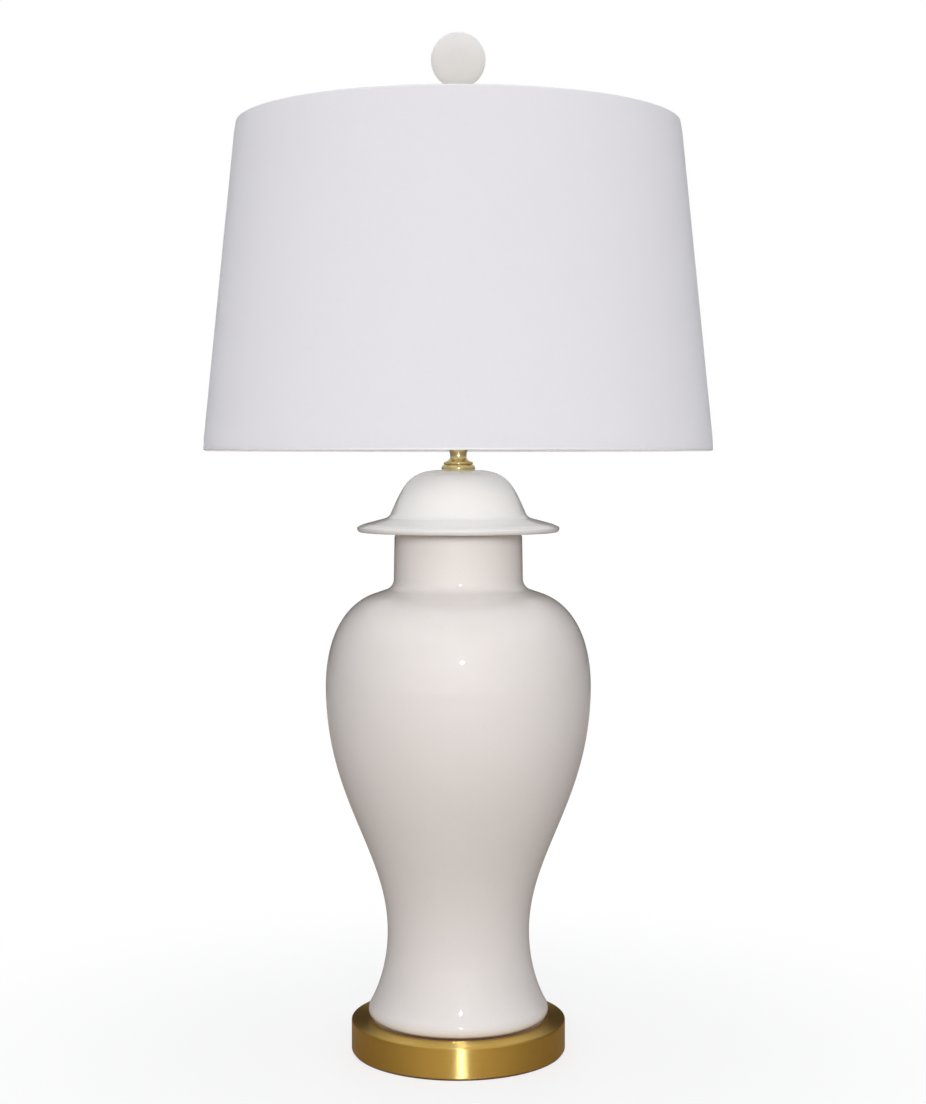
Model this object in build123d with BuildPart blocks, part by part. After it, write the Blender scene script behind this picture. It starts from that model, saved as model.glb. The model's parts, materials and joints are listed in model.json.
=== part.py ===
from build123d import *
from math import cos, radians, sin, sqrt, tan
import os

# Ginger jar table lamp, from the felt under its plinth to the ball of its finial.
#
# Millimetres, +Z up. The origin is the middle of the felt's underside, where the lamp rests.
# The harp lies in the XZ plane, the switch knob points to the front (-Y), and the cord's bushing
# is at the back of the plinth (+Y). Every height is stacked on the piece below it.

# ------------------------------------------------------------------ clearances
running_gap = 0.05      # all round a shaft in its bearing, or a thread in its nut
sliding_gap = 0.1       # all round a sleeve on its post
drilled_gap = 0.4       # all round the rod in a drilled hole
turning_gap = 0.2       # between the finial's ball and the cup under it

# ------------------------------------------------------------------ plinth and what is inside it
felt_t = 1.2
felt_inset = 1.4        # the felt stops short of the plinth's edge by this much
plinth_r = 91.9
plinth_h = 26.8
plinth_t = 1.2          # spun sheet brass
plinth_top_round = 1.8
plinth_foot_round = 1.1
plinth_lip = 6.0        # bottom edge, turned inwards
weight_t = 12.0
weight_gap = 2.7        # round the weight, inside the bushing's tail
weight_edge_round = 1.5
washer_r = 12.7
washer_t = 1.6
lock_washer_r = 7.8
lock_washer_t = 1.3
lock_washer_split = 1.6
nut_flats = 14.3        # across the flats
nut_t = 4.8
bushing_rise = 9.8      # axis of the cord's bushing above the plinth's bottom edge
bushing_flange_r = 7.2
bushing_flange_t = 1.6
bushing_barrel_r = 5.2
bushing_tail = 4.0      # barrel inside the wall
cord_hole_r = 4.0

# ------------------------------------------------------------------ rod
rod_r = 5.14            # 1/8 in running pipe, 0.405 in outside
rod_bore_r = 3.25
rod_tail = 2.0          # rod below its bottom nut

# ------------------------------------------------------------------ porcelain jar
foot_gasket_t = 1.8
jar_h = 414.7
jar_wall = 6.0
jar_floor_t = 9.0
foot_r = 77.3
foot_round = 3.6
foot_ring_w = 11.0
foot_recess = 3.0
foot_pull = 8.3         # these five lengths say how far each curve keeps its end's direction
waist_r = 60.8
waist_h = 73.0
waist_pull_below = 41.4
waist_pull_above = 70.0
belly_r = 113.2
belly_h = 284.0
belly_pull_below = 97.0
belly_pull_above = 45.0
shoulder_r = 72.4       # where the shoulder's curve gives way to a straight slope
shoulder_slope = 19.0   # degrees
shoulder_pull = 24.4
neck_r = 55.2
neck_h = 45.8           # rim down to where the shoulder's slope would meet the neck
neck_cove = 10.0
rim_r = 54.4
rim_round = 3.5

# ------------------------------------------------------------------ porcelain lid
lid_gasket_t = 2.3
lid_gasket_w = 3.0
lid_h = 51.7
lid_wall = 5.5
brim_r = 86.1
brim_edge_t = 3.2       # upright edge of the brim
brim_bevel_w = 5.6      # from the edge in to where the brim's slope starts
brim_bevel_h = 2.6
brim_slope = 15.0       # degrees
brim_edge_round = 1.5
brim_bevel_round = 9.0
dome_r = 58.9           # where the brim's slope would meet the dome's side
dome_lean = 23.4        # degrees from upright
dome_side_h = 6.1
dome_cove = 8.0
dome_pull = 25.4
crown_r = 14.0
crown_pull = 26.0
collar_gap = 0.9        # between the lid's collar and the inside of the jar's neck
collar_h = 12.0

# ------------------------------------------------------------------ turned brass under the socket
check_ring_r = 14.3
check_ring_h = 4.7
check_ring_foot_r = 13.8
check_ring_belly_h = 1.9  # height of the ring's widest place
check_ring_top_r = 11.0
neck_piece_h = 14.8
neck_bead_r = 12.5
neck_bead_h = 2.4
neck_waist_r = 7.0
neck_waist_h = 7.4
neck_waist_pull = 1.5   # how far the waist's curve keeps its direction at either end
neck_top_r = 8.6
neck_top_band = 1.6

# ------------------------------------------------------------------ harp and its saddle
saddle_t = 1.5
saddle_w = 9.0
saddle_pad_r = 9.5
saddle_arm_h = 8.0      # strip, from the underside of the saddle to the top of its arms
saddle_bend_r = 3.5
leg_x = 26.0            # half the distance between the harp's legs
harp_wire_r = 1.8
leg_socket_wall = 1.3
leg_socket_h = 12.0     # rolled sockets above the strip
leg_socket_floor = 1.0
leg_socket_root = 2.7   # rolled socket below the top of the strip's arm
ferrule_t = 0.9
harp_h = 266.7          # underside of the saddle to the seat under the shade, 10.5 in
harp_knee_h = 44.0      # the next heights are above the underside of the saddle
harp_bow_x = 58.0
harp_bow_low_h = 122.0
harp_bow_high_h = 187.0
harp_top_x = 24.0
harp_knee_bend = 40.0
harp_low_bend = 170.0
harp_high_bend = 115.0
harp_top_bend = 22.0
stud_r = 3.175          # 1/4 in thread
stud_h = 12.7
stud_seat_r = 7.5
stud_seat_t = 1.6
stud_body_r = 4.2
stud_body_h = 5.6

# ------------------------------------------------------------------ lamp socket
cap_hub_r = 8.0
cap_hub_h = 6.0
cap_r = 17.2
cap_t = 0.7
cap_bell_h = 15.0       # top of the cap's bell, above the saddle
cap_h = 20.0
cap_hub_pull = 3.8      # how far the bell's curve keeps its direction at the hub and at the rim
cap_rim_pull = 6.0
set_screw_r = 1.5
set_screw_stand = 0.8
set_screw_slot = 0.5
shell_t = 0.5
shell_h = 44.8
shell_bead = 0.35
insulator_t = 0.8
insulator_short = 2.0   # the insulator stops below the shell's top by this much
socket_body_h = 16.0
socket_boss_r = 11.0
terminal_screw_r = 2.4
terminal_room = 0.6     # boss taller than the terminal screws' heads by this much
terminal_screw_t = 1.8
terminal_shank_r = 1.4
terminal_shank = 4.0
thread_shell_r = 13.2   # inside, for a 26 mm lamp cap
thread_shell_t = 0.5
thread_shell_h = 24.0
contact_r = 4.5
contact_t = 1.4
contact_taper = 30.0    # degrees
contact_well_gap = 2.5  # round the contact, in the well at the bottom of the thread shell
contact_well_h = 2.6

# ------------------------------------------------------------------ switch knob
shaft_r = 1.6
shaft_depth = 9.0       # shaft inside the socket's body
shaft_hole_gap = 1.5    # round the shaft in the shell and the insulator
knob_r = 5.4
knob_l = 12.5
knob_stand = 2.6        # air between the shell and the knob
knob_cap_t = 2.5        # knob beyond the end of the shaft
knob_flutes = 12
knob_flute_r = 0.8
knob_collar_r = 3.6
knob_collar_l = 2.4
knob_round = 1.2

# ------------------------------------------------------------------ shade
shade_bottom_r = 215.9  # 17 in across
shade_top_r = 187.3
shade_h = 274.5
fitter_drop = 4.4       # shade's top edge above the harp's seat
fabric_t = 0.7
liner_t = 0.5
ring_r = 1.5            # wire of the two rings
hem_cover = 0.4         # fabric turned in past the ring
hem_round = 0.6
hub_r = 12.7
hub_hole_r = 5.6
hub_t = 1.6
spider_arms = 3
spider_arm_r = 1.4
spider_turn = 90.0      # degrees, the first arm points to the back

# ------------------------------------------------------------------ finial
ball_r = 23.1
finial_flange_r = 9.5
finial_flange_t = 2.2
finial_cove_r = 5.6
finial_cove_h = 8.0
finial_bead_r = 7.4
finial_bead_h = 12.5
finial_stem_r = 4.8
finial_stem_h = 21.0
finial_cup_r = 9.5
finial_cup_h = 36.6     # rim of the cup above the hub
finial_spigot_r = 3.2
finial_spigot_h = 12.0
finial_bore_extra = 1.6     # tapped hole past the end of the stud


# ================================================================== plinth
plinth_z = felt_t
plinth_top = plinth_z + plinth_h
plinth_inner_r = plinth_r - plinth_t
rod_hole_r = rod_r + drilled_gap
thread_r = rod_r + running_gap

with BuildPart() as base_felt:
    Cylinder(plinth_r - felt_inset, felt_t, align=(Align.CENTER, Align.CENTER, Align.MIN))
base_felt.part.label = "base_felt"

# A spun cup, open below, with its bottom edge turned in to carry the felt.
bushing_z = plinth_z + bushing_rise
with BuildPart() as base_plinth:
    with BuildSketch(Plane.XZ) as plinth_section:
        with BuildLine():
            Polyline(
                (rod_hole_r, plinth_top),
                (plinth_r, plinth_top),
                (plinth_r, plinth_z),
                (plinth_r - plinth_lip, plinth_z),
                (plinth_r - plinth_lip, plinth_z + plinth_t),
                (plinth_inner_r, plinth_z + plinth_t),
                (plinth_inner_r, plinth_top - plinth_t),
                (rod_hole_r, plinth_top - plinth_t),
                close=True,
            )
        make_face()
        outer_corners = plinth_section.vertices().group_by(Axis.X)[-1].sort_by(Axis.Y)
        fillet(outer_corners[-1], plinth_top_round)
        outer_corners = plinth_section.vertices().group_by(Axis.X)[-1].sort_by(Axis.Y)
        fillet(outer_corners[0], plinth_foot_round)
    revolve(axis=Axis.Z)
    with BuildSketch(Plane.XZ.offset(-plinth_r)):
        with Locations((0, bushing_z)):
            Circle(bushing_barrel_r + running_gap)
    extrude(amount=plinth_lip, mode=Mode.SUBTRACT)
base_plinth.part.label = "base_plinth"

weight_top = plinth_top - plinth_t
weight_z = weight_top - weight_t
weight_r = plinth_inner_r - bushing_tail - weight_gap
with BuildPart() as base_weight:
    with Locations((0, 0, weight_z)):
        Cylinder(weight_r, weight_t, align=(Align.CENTER, Align.CENTER, Align.MIN))
    fillet(base_weight.edges().group_by(Axis.Z)[0], weight_edge_round)
    Hole(rod_hole_r)
base_weight.part.label = "base_weight"

washer_z = weight_z - washer_t
with BuildPart() as flat_washer:
    with BuildSketch(Plane.XY.offset(washer_z)):
        Circle(washer_r)
        Circle(rod_hole_r, mode=Mode.SUBTRACT)
    extrude(amount=washer_t)
flat_washer.part.label = "flat_washer"

lock_washer_z = washer_z - lock_washer_t
with BuildPart() as lock_washer:
    with BuildSketch(Plane.XY.offset(lock_washer_z)):
        Circle(lock_washer_r)
        Circle(rod_hole_r, mode=Mode.SUBTRACT)
        with Locations((lock_washer_r, 0)):
            Rectangle(lock_washer_r, lock_washer_split, mode=Mode.SUBTRACT)
    extrude(amount=lock_washer_t)
lock_washer.part.label = "lock_washer"

nut_z = lock_washer_z - nut_t
with BuildPart() as bottom_nut:
    with BuildSketch(Plane.XY.offset(nut_z)):
        RegularPolygon(nut_flats / 2, 6, major_radius=False)
        Circle(thread_r, mode=Mode.SUBTRACT)
    extrude(amount=nut_t)
bottom_nut.part.label = "bottom_nut"

# The cord's bushing: a flange that fits the round wall, and a barrel through it.
with BuildPart() as cord_bushing:
    with BuildSketch(Plane.XZ.offset(-plinth_r - bushing_flange_t)):
        with Locations((0, bushing_z)):
            Circle(bushing_flange_r)
    extrude(amount=bushing_flange_t + plinth_t)
    fillet(cord_bushing.edges().group_by(Axis.Y)[-1], bushing_flange_t / 2)
    with Locations((0, 0, plinth_z)):
        Cylinder(plinth_r, plinth_h, align=(Align.CENTER, Align.CENTER, Align.MIN), mode=Mode.SUBTRACT)
    with BuildSketch(Plane.XZ.offset(-plinth_r - bushing_flange_t / 2)):
        with Locations((0, bushing_z)):
            Circle(bushing_barrel_r)
    extrude(amount=bushing_flange_t / 2 + plinth_t + bushing_tail)
    with BuildSketch(Plane.XZ.offset(-plinth_r - bushing_flange_t)):
        with Locations((0, bushing_z)):
            Circle(cord_hole_r)
    extrude(amount=bushing_flange_t + plinth_t + bushing_tail, mode=Mode.SUBTRACT)
cord_bushing.part.label = "cord_bushing"

# ================================================================== jar
jar_z = plinth_top + foot_gasket_t
jar_top = jar_z + jar_h
foot_flat_r = foot_r - foot_round
foot_ring_inner_r = foot_flat_r - foot_ring_w
with BuildPart() as foot_gasket:
    with BuildSketch(Plane.XY.offset(plinth_top)):
        Circle(foot_flat_r)
        Circle(foot_ring_inner_r, mode=Mode.SUBTRACT)
    extrude(amount=foot_gasket_t)
foot_gasket.part.label = "foot_gasket"

# The jar's wall is one outline turned about the axis: up the outside from the foot, over the rim,
# and down the inside, where the same curves run one wall's thickness in.
slope = radians(shoulder_slope)
waist_z = jar_z + waist_h
belly_z = jar_z + belly_h
neck_corner_z = jar_top - neck_h
shoulder_z = neck_corner_z - (shoulder_r - neck_r) * tan(slope)
cove_tangent = neck_cove * tan((radians(90) - slope) / 2)
floor_z = jar_z + foot_recess + jar_floor_t
jar_inner_neck_r = rim_r - jar_wall
inner_shoulder_r = shoulder_r - jar_wall * sin(slope)
inner_shoulder_z = shoulder_z - jar_wall * cos(slope)
inner_corner_z = inner_shoulder_z + (inner_shoulder_r - jar_inner_neck_r) * tan(slope)
with BuildPart() as jar:
    with BuildSketch(Plane.XZ):
        with BuildLine():
            Polyline(
                (rod_hole_r, jar_z + foot_recess),
                (foot_ring_inner_r, jar_z + foot_recess),
                (foot_ring_inner_r, jar_z),
                (foot_flat_r, jar_z),
            )
            RadiusArc((foot_flat_r, jar_z), (foot_r, jar_z + foot_round), -foot_round)
            Bezier(
                (foot_r, jar_z + foot_round),
                (foot_r, jar_z + foot_round + foot_pull),
                (waist_r, waist_z - waist_pull_below),
                (waist_r, waist_z),
            )
            Bezier(
                (waist_r, waist_z),
                (waist_r, waist_z + waist_pull_above),
                (belly_r, belly_z - belly_pull_below),
                (belly_r, belly_z),
            )
            Bezier(
                (belly_r, belly_z),
                (belly_r, belly_z + belly_pull_above),
                (shoulder_r + shoulder_pull * cos(slope), shoulder_z - shoulder_pull * sin(slope)),
                (shoulder_r, shoulder_z),
            )
            cove_start = (
                neck_r + cove_tangent * cos(slope),
                neck_corner_z - cove_tangent * sin(slope),
            )
            cove_end = (neck_r, neck_corner_z + cove_tangent)
            Line((shoulder_r, shoulder_z), cove_start)
            RadiusArc(cove_start, cove_end, neck_cove)
            Line(cove_end, (rim_r, jar_top - rim_round))
            RadiusArc((rim_r, jar_top - rim_round), (rim_r - rim_round, jar_top), -rim_round)
            Polyline(
                (rim_r - rim_round, jar_top),
                (jar_inner_neck_r, jar_top),
                (jar_inner_neck_r, inner_corner_z),
                (inner_shoulder_r, inner_shoulder_z),
            )
            Bezier(
                (inner_shoulder_r, inner_shoulder_z),
                (
                    inner_shoulder_r + shoulder_pull * cos(slope),
                    inner_shoulder_z - shoulder_pull * sin(slope),
                ),
                (belly_r - jar_wall, belly_z + belly_pull_above - jar_wall),
                (belly_r - jar_wall, belly_z),
            )
            Bezier(
                (belly_r - jar_wall, belly_z),
                (belly_r - jar_wall, belly_z - belly_pull_below),
                (waist_r - jar_wall, waist_z + waist_pull_above),
                (waist_r - jar_wall, waist_z),
            )
            Bezier(
                (waist_r - jar_wall, waist_z),
                (waist_r - jar_wall, waist_z - waist_pull_below),
                (foot_ring_inner_r, floor_z + foot_pull),
                (foot_ring_inner_r, floor_z),
            )
            Polyline(
                (foot_ring_inner_r, floor_z),
                (rod_hole_r, floor_z),
                (rod_hole_r, jar_z + foot_recess),
            )
        make_face()
    revolve(axis=Axis.Z)
jar.part.label = "jar"

# ================================================================== lid
lid_z = jar_top + lid_gasket_t
lid_top = lid_z + lid_h
lid_gasket_r = jar_inner_neck_r + lid_gasket_w
with BuildPart() as lid_gasket:
    with BuildSketch(Plane.XY.offset(jar_top)):
        Circle(lid_gasket_r)
        Circle(jar_inner_neck_r, mode=Mode.SUBTRACT)
    extrude(amount=lid_gasket_t)
lid_gasket.part.label = "lid_gasket"

lean = radians(dome_lean)
brim_knee_r = brim_r - brim_bevel_w
brim_knee_z = lid_z + brim_edge_t + brim_bevel_h
dome_root_z = brim_knee_z + (brim_knee_r - dome_r) * tan(radians(brim_slope))
dome_side_r = dome_r - dome_side_h * tan(lean)
dome_side_z = dome_root_z + dome_side_h
collar_r = jar_inner_neck_r - collar_gap
with BuildPart() as lid:
    with BuildSketch(Plane.XZ):
        with BuildLine():
            Line((rod_hole_r, lid_top), (crown_r, lid_top))
            Bezier(
                (crown_r, lid_top),
                (crown_r + crown_pull, lid_top),
                (dome_side_r - dome_pull * sin(lean), dome_side_z + dome_pull * cos(lean)),
                (dome_side_r, dome_side_z),
            )
            FilletPolyline(
                (dome_side_r, dome_side_z),
                (dome_r, dome_root_z),
                (brim_knee_r, brim_knee_z),
                (brim_r, lid_z + brim_edge_t),
                (brim_r, lid_z),
                (collar_r, lid_z),
                radius=(dome_cove, brim_bevel_round, brim_edge_round, brim_edge_round),
            )
            Polyline(
                (collar_r, lid_z),
                (collar_r, lid_z - collar_h),
                (collar_r - lid_wall, lid_z - collar_h),
                (collar_r - lid_wall, lid_z),
                (dome_side_r - lid_wall, dome_side_z),
            )
            Bezier(
                (dome_side_r - lid_wall, dome_side_z),
                (
                    dome_side_r - lid_wall - (dome_pull - lid_wall) * sin(lean),
                    dome_side_z + (dome_pull - lid_wall) * cos(lean),
                ),
                (crown_r + crown_pull - lid_wall, lid_top - lid_wall),
                (crown_r, lid_top - lid_wall),
            )
            Polyline(
                (crown_r, lid_top - lid_wall),
                (rod_hole_r, lid_top - lid_wall),
                (rod_hole_r, lid_top),
            )
        make_face()
    revolve(axis=Axis.Z)
lid.part.label = "lid"

# ================================================================== turned brass on the lid
check_ring_top = lid_top + check_ring_h
with BuildPart() as check_ring:
    with BuildSketch(Plane.XZ):
        with BuildLine():
            Line((thread_r, lid_top), (check_ring_foot_r, lid_top))
            ThreePointArc(
                (check_ring_foot_r, lid_top),
                (check_ring_r, lid_top + check_ring_belly_h),
                (check_ring_top_r, check_ring_top),
            )
            Polyline(
                (check_ring_top_r, check_ring_top),
                (thread_r, check_ring_top),
                (thread_r, lid_top),
            )
        make_face()
    revolve(axis=Axis.Z)
check_ring.part.label = "check_ring"

neck_top = check_ring_top + neck_piece_h
neck_waist_z = check_ring_top + neck_waist_h
with BuildPart() as lamp_neck:
    with BuildSketch(Plane.XZ):
        with BuildLine():
            Line((thread_r, check_ring_top), (check_ring_top_r, check_ring_top))
            ThreePointArc(
                (check_ring_top_r, check_ring_top),
                (neck_bead_r, check_ring_top + neck_bead_h / 2),
                (check_ring_top_r, check_ring_top + neck_bead_h),
            )
            Bezier(
                (check_ring_top_r, check_ring_top + neck_bead_h),
                (neck_waist_r, check_ring_top + neck_bead_h + neck_waist_pull),
                (neck_waist_r, neck_waist_z - neck_waist_pull),
                (neck_waist_r, neck_waist_z),
            )
            TangentArc(
                (neck_waist_r, neck_waist_z),
                (neck_top_r, neck_top - neck_top_band),
                tangent=(0, 1),
            )
            Polyline(
                (neck_top_r, neck_top - neck_top_band),
                (neck_top_r, neck_top),
                (thread_r, neck_top),
                (thread_r, check_ring_top),
            )
        make_face()
    revolve(axis=Axis.Z)
lamp_neck.part.label = "lamp_neck"

# ================================================================== saddle that holds the harp
saddle_top = neck_top + saddle_t
arm_top = neck_top + saddle_arm_h
leg_socket_top = arm_top + leg_socket_h
leg_hole_r = harp_wire_r + sliding_gap
leg_socket_r = leg_hole_r + leg_socket_wall
leg_z = arm_top + leg_socket_floor
with BuildPart() as harp_saddle:
    with BuildSketch(Plane.XZ) as strip_section:
        with Locations((0, neck_top)):
            Rectangle(2 * leg_x + saddle_t, saddle_arm_h, align=(Align.CENTER, Align.MIN))
        fillet(strip_section.vertices().group_by(Axis.Y)[0], saddle_bend_r)
        with Locations((0, saddle_top)):
            RectangleRounded(
                2 * leg_x - saddle_t,
                2 * saddle_arm_h,
                saddle_bend_r - saddle_t,
                align=(Align.CENTER, Align.MIN),
                mode=Mode.SUBTRACT,
            )
    extrude(amount=saddle_w / 2, both=True)
    with Locations((0, 0, neck_top)):
        Cylinder(saddle_pad_r, saddle_t, align=(Align.CENTER, Align.CENTER, Align.MIN))
    with BuildSketch(Plane.XY.offset(arm_top - leg_socket_root)):
        with Locations((-leg_x, 0), (leg_x, 0)):
            Circle(leg_socket_r)
    extrude(amount=leg_socket_h + leg_socket_root)
    with BuildSketch(Plane.XY.offset(leg_z)):
        with Locations((-leg_x, 0), (leg_x, 0)):
            Circle(leg_hole_r)
    extrude(amount=leg_socket_top - leg_z, mode=Mode.SUBTRACT)
    with BuildSketch(Plane.XY.offset(neck_top)):
        Circle(rod_hole_r)
    extrude(amount=saddle_t, mode=Mode.SUBTRACT)
harp_saddle.part.label = "harp_saddle"

# ================================================================== lamp socket
socket_z = saddle_top
cap_hub_top = socket_z + cap_hub_h
cap_bell_z = socket_z + cap_bell_h
cap_inner_r = cap_r - cap_t
with BuildPart() as socket_cap:
    with BuildSketch(Plane.XZ):
        with BuildLine():
            Polyline((thread_r, socket_z), (cap_hub_r, socket_z), (cap_hub_r, cap_hub_top - cap_t))
            Bezier(
                (cap_hub_r, cap_hub_top - cap_t),
                (cap_hub_r, cap_hub_top + cap_hub_pull),
                (cap_r, cap_bell_z - cap_rim_pull),
                (cap_r, cap_bell_z),
            )
            Polyline(
                (cap_r, cap_bell_z),
                (cap_r, socket_z + cap_h),
                (cap_inner_r, socket_z + cap_h),
                (cap_inner_r, cap_bell_z),
            )
            Bezier(
                (cap_inner_r, cap_bell_z),
                (cap_inner_r, cap_bell_z - cap_rim_pull + cap_t),
                (cap_hub_r - cap_t, cap_hub_top + cap_hub_pull + cap_t),
                (cap_hub_r - cap_t, cap_hub_top),
            )
            Polyline((cap_hub_r - cap_t, cap_hub_top), (thread_r, cap_hub_top), (thread_r, socket_z))
        make_face()
    revolve(axis=Axis.Z)
    with BuildSketch(Plane.XZ):
        with Locations((0, socket_z + cap_hub_h / 2)):
            Circle(set_screw_r + running_gap)
    extrude(amount=-cap_r, mode=Mode.SUBTRACT)
socket_cap.part.label = "socket_cap"

with BuildPart() as cap_set_screw:
    with BuildSketch(Plane.XZ.offset(-rod_r - running_gap)):
        with Locations((0, socket_z + cap_hub_h / 2)):
            Circle(set_screw_r)
    extrude(amount=-(cap_hub_r + set_screw_stand - rod_r - running_gap))
    screw_end = cap_set_screw.faces().sort_by(Axis.Y)[-1]
    with BuildSketch(screw_end):
        Rectangle(2 * set_screw_r, set_screw_slot)
    extrude(amount=-set_screw_stand / 2, mode=Mode.SUBTRACT)
cap_set_screw.part.label = "cap_set_screw"

with BuildPart() as lamp_rod:
    with BuildSketch(Plane.XY.offset(nut_z - rod_tail)):
        Circle(rod_r)
        Circle(rod_bore_r, mode=Mode.SUBTRACT)
    extrude(amount=cap_hub_top - nut_z + rod_tail)
lamp_rod.part.label = "lamp_rod"

# The switch's shaft lies half way up the socket's body, and the shell and insulator are cut for it.
shell_r = cap_inner_r - running_gap
shell_z = cap_bell_z
shell_top = shell_z + shell_h
insulator_r = shell_r - shell_t - running_gap
socket_body_r = insulator_r - insulator_t - running_gap
socket_boss_h = 2 * terminal_screw_r + terminal_room
socket_body_z = shell_z + socket_boss_h / 2
socket_body_top = socket_body_z + socket_body_h
contact_z = socket_body_top - contact_well_h
shaft_z = socket_body_z + socket_body_h / 2
with BuildPart() as socket_shell:
    with BuildSketch(Plane.XZ):
        with BuildLine():
            Polyline(
                (shell_r - shell_t, shell_z),
                (shell_r, shell_z),
                (shell_r, shell_top - 2 * shell_t),
            )
            ThreePointArc(
                (shell_r, shell_top - 2 * shell_t),
                (shell_r + shell_bead, shell_top - shell_t),
                (shell_r, shell_top),
            )
            Polyline(
                (shell_r, shell_top),
                (shell_r - shell_t, shell_top),
                (shell_r - shell_t, shell_z),
            )
        make_face()
    revolve(axis=Axis.Z)
    with BuildSketch(Plane.XZ):
        with Locations((0, shaft_z)):
            Circle(shaft_r + shaft_hole_gap)
    extrude(amount=cap_r, mode=Mode.SUBTRACT)
socket_shell.part.label = "socket_shell"

with BuildPart() as socket_insulator:
    with BuildSketch(Plane.XY.offset(shell_z)):
        Circle(insulator_r)
        Circle(insulator_r - insulator_t, mode=Mode.SUBTRACT)
    extrude(amount=shell_h - insulator_short)
    with BuildSketch(Plane.XZ):
        with Locations((0, shaft_z)):
            Circle(shaft_r + shaft_hole_gap)
    extrude(amount=cap_r, mode=Mode.SUBTRACT)
socket_insulator.part.label = "socket_insulator"

with BuildPart() as socket_body:
    with Locations((0, 0, socket_body_z)):
        Cylinder(socket_body_r, socket_body_h, align=(Align.CENTER, Align.CENTER, Align.MIN))
        Cylinder(socket_boss_r, socket_boss_h, align=(Align.CENTER, Align.CENTER, Align.MAX))
    with BuildSketch(Plane.XZ.offset(socket_body_r)):
        with Locations((0, shaft_z)):
            Circle(shaft_r + running_gap)
    extrude(amount=-shaft_depth, mode=Mode.SUBTRACT)
    with BuildSketch(Plane.YZ):
        with Locations((0, socket_body_z - socket_boss_h / 2)):
            Circle(terminal_shank_r + running_gap)
    extrude(amount=socket_boss_r, both=True, mode=Mode.SUBTRACT)
    with BuildSketch(Plane.XY.offset(contact_z)):
        Circle(contact_r + contact_well_gap)
    extrude(amount=contact_well_h, mode=Mode.SUBTRACT)
socket_body.part.label = "socket_body"

with BuildPart() as terminal_screws:
    for side in (-1, 1):
        terminal_plane = Plane(
            origin=(side * socket_boss_r, 0, socket_body_z - socket_boss_h / 2),
            x_dir=(0, 1, 0),
            z_dir=(side, 0, 0),
        )
        with BuildSketch(terminal_plane):
            Circle(terminal_screw_r)
        extrude(amount=terminal_screw_t)
        with BuildSketch(terminal_plane):
            Circle(terminal_shank_r)
        extrude(amount=-terminal_shank)
terminal_screws.part.label = "terminal_screws"

with BuildPart() as thread_shell:
    with BuildSketch(Plane.XY.offset(socket_body_top)):
        Circle(thread_shell_r + thread_shell_t)
        Circle(thread_shell_r, mode=Mode.SUBTRACT)
    extrude(amount=thread_shell_h)
thread_shell.part.label = "thread_shell"

with BuildPart() as centre_contact:
    with BuildSketch(Plane.XY.offset(contact_z)):
        Circle(contact_r)
    extrude(amount=contact_t, taper=contact_taper)
centre_contact.part.label = "centre_contact"

# ================================================================== switch
shaft_inner_y = socket_body_r - shaft_depth
knob_back_y = shell_r + knob_stand
shaft_end_y = knob_back_y + knob_l - knob_cap_t
with BuildPart() as switch_shaft:
    with BuildSketch(Plane.XZ.offset(shaft_inner_y)):
        with Locations((0, shaft_z)):
            Circle(shaft_r)
    extrude(amount=shaft_end_y - shaft_inner_y)
switch_shaft.part.label = "switch_shaft"

with BuildPart() as switch_knob:
    with BuildSketch(Plane.XZ.offset(knob_back_y)):
        with Locations((0, shaft_z)):
            Circle(knob_collar_r)
    extrude(amount=knob_collar_l)
    with BuildSketch(Plane.XZ.offset(knob_back_y + knob_collar_l)):
        with Locations((0, shaft_z)):
            Circle(knob_r)
    extrude(amount=knob_l - knob_collar_l)
    fillet(switch_knob.edges().group_by(Axis.Y)[0], knob_round)
    with BuildSketch(Plane.XZ.offset(knob_back_y + knob_collar_l)):
        with Locations((0, shaft_z)):
            with PolarLocations(knob_r, knob_flutes):
                Circle(knob_flute_r)
    extrude(amount=knob_l - knob_collar_l, mode=Mode.SUBTRACT)
    with BuildSketch(Plane.XZ.offset(knob_back_y)):
        with Locations((0, shaft_z)):
            Circle(shaft_r + running_gap)
    extrude(amount=shaft_end_y - knob_back_y, mode=Mode.SUBTRACT)
switch_knob.part.label = "switch_knob"

# ================================================================== harp
harp_seat_z = neck_top + harp_h
stud_body_top = harp_seat_z - stud_seat_t
wire_z = stud_body_top - stud_body_h / 2
harp_right = [
    (harp_top_x, wire_z),
    (harp_bow_x, neck_top + harp_bow_high_h),
    (harp_bow_x, neck_top + harp_bow_low_h),
    (leg_x, neck_top + harp_knee_h),
    (leg_x, leg_z),
]
harp_left = [(-x, z) for x, z in reversed(harp_right)]
harp_bends = [harp_knee_bend, harp_low_bend, harp_high_bend, harp_top_bend]
with BuildPart() as harp_wire:
    with BuildLine(Plane.XZ) as harp_path:
        FilletPolyline(*harp_left, *harp_right, radius=harp_bends + harp_bends[::-1])
    with BuildSketch(Plane.XY.offset(leg_z)):
        with Locations((-leg_x, 0)):
            Circle(harp_wire_r)
    sweep(path=harp_path.wires()[0])
harp_wire.part.label = "harp_wire"

# The stud: a loop on the wire, a round seat for the shade, and the finial's thread.
with BuildPart() as harp_stud:
    with BuildSketch(Plane.XY.offset(stud_body_top - stud_body_h)):
        Circle(stud_body_r)
    extrude(amount=stud_body_h)
    with BuildSketch(Plane.XY.offset(stud_body_top)):
        Circle(stud_seat_r)
    extrude(amount=stud_seat_t)
    with BuildSketch(Plane.XY.offset(harp_seat_z)):
        Circle(stud_r)
    extrude(amount=stud_h)
    with BuildSketch(Plane.YZ):
        with Locations((0, wire_z)):
            Circle(harp_wire_r + running_gap)
    extrude(amount=stud_body_r, both=True, mode=Mode.SUBTRACT)
harp_stud.part.label = "harp_stud"

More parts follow.
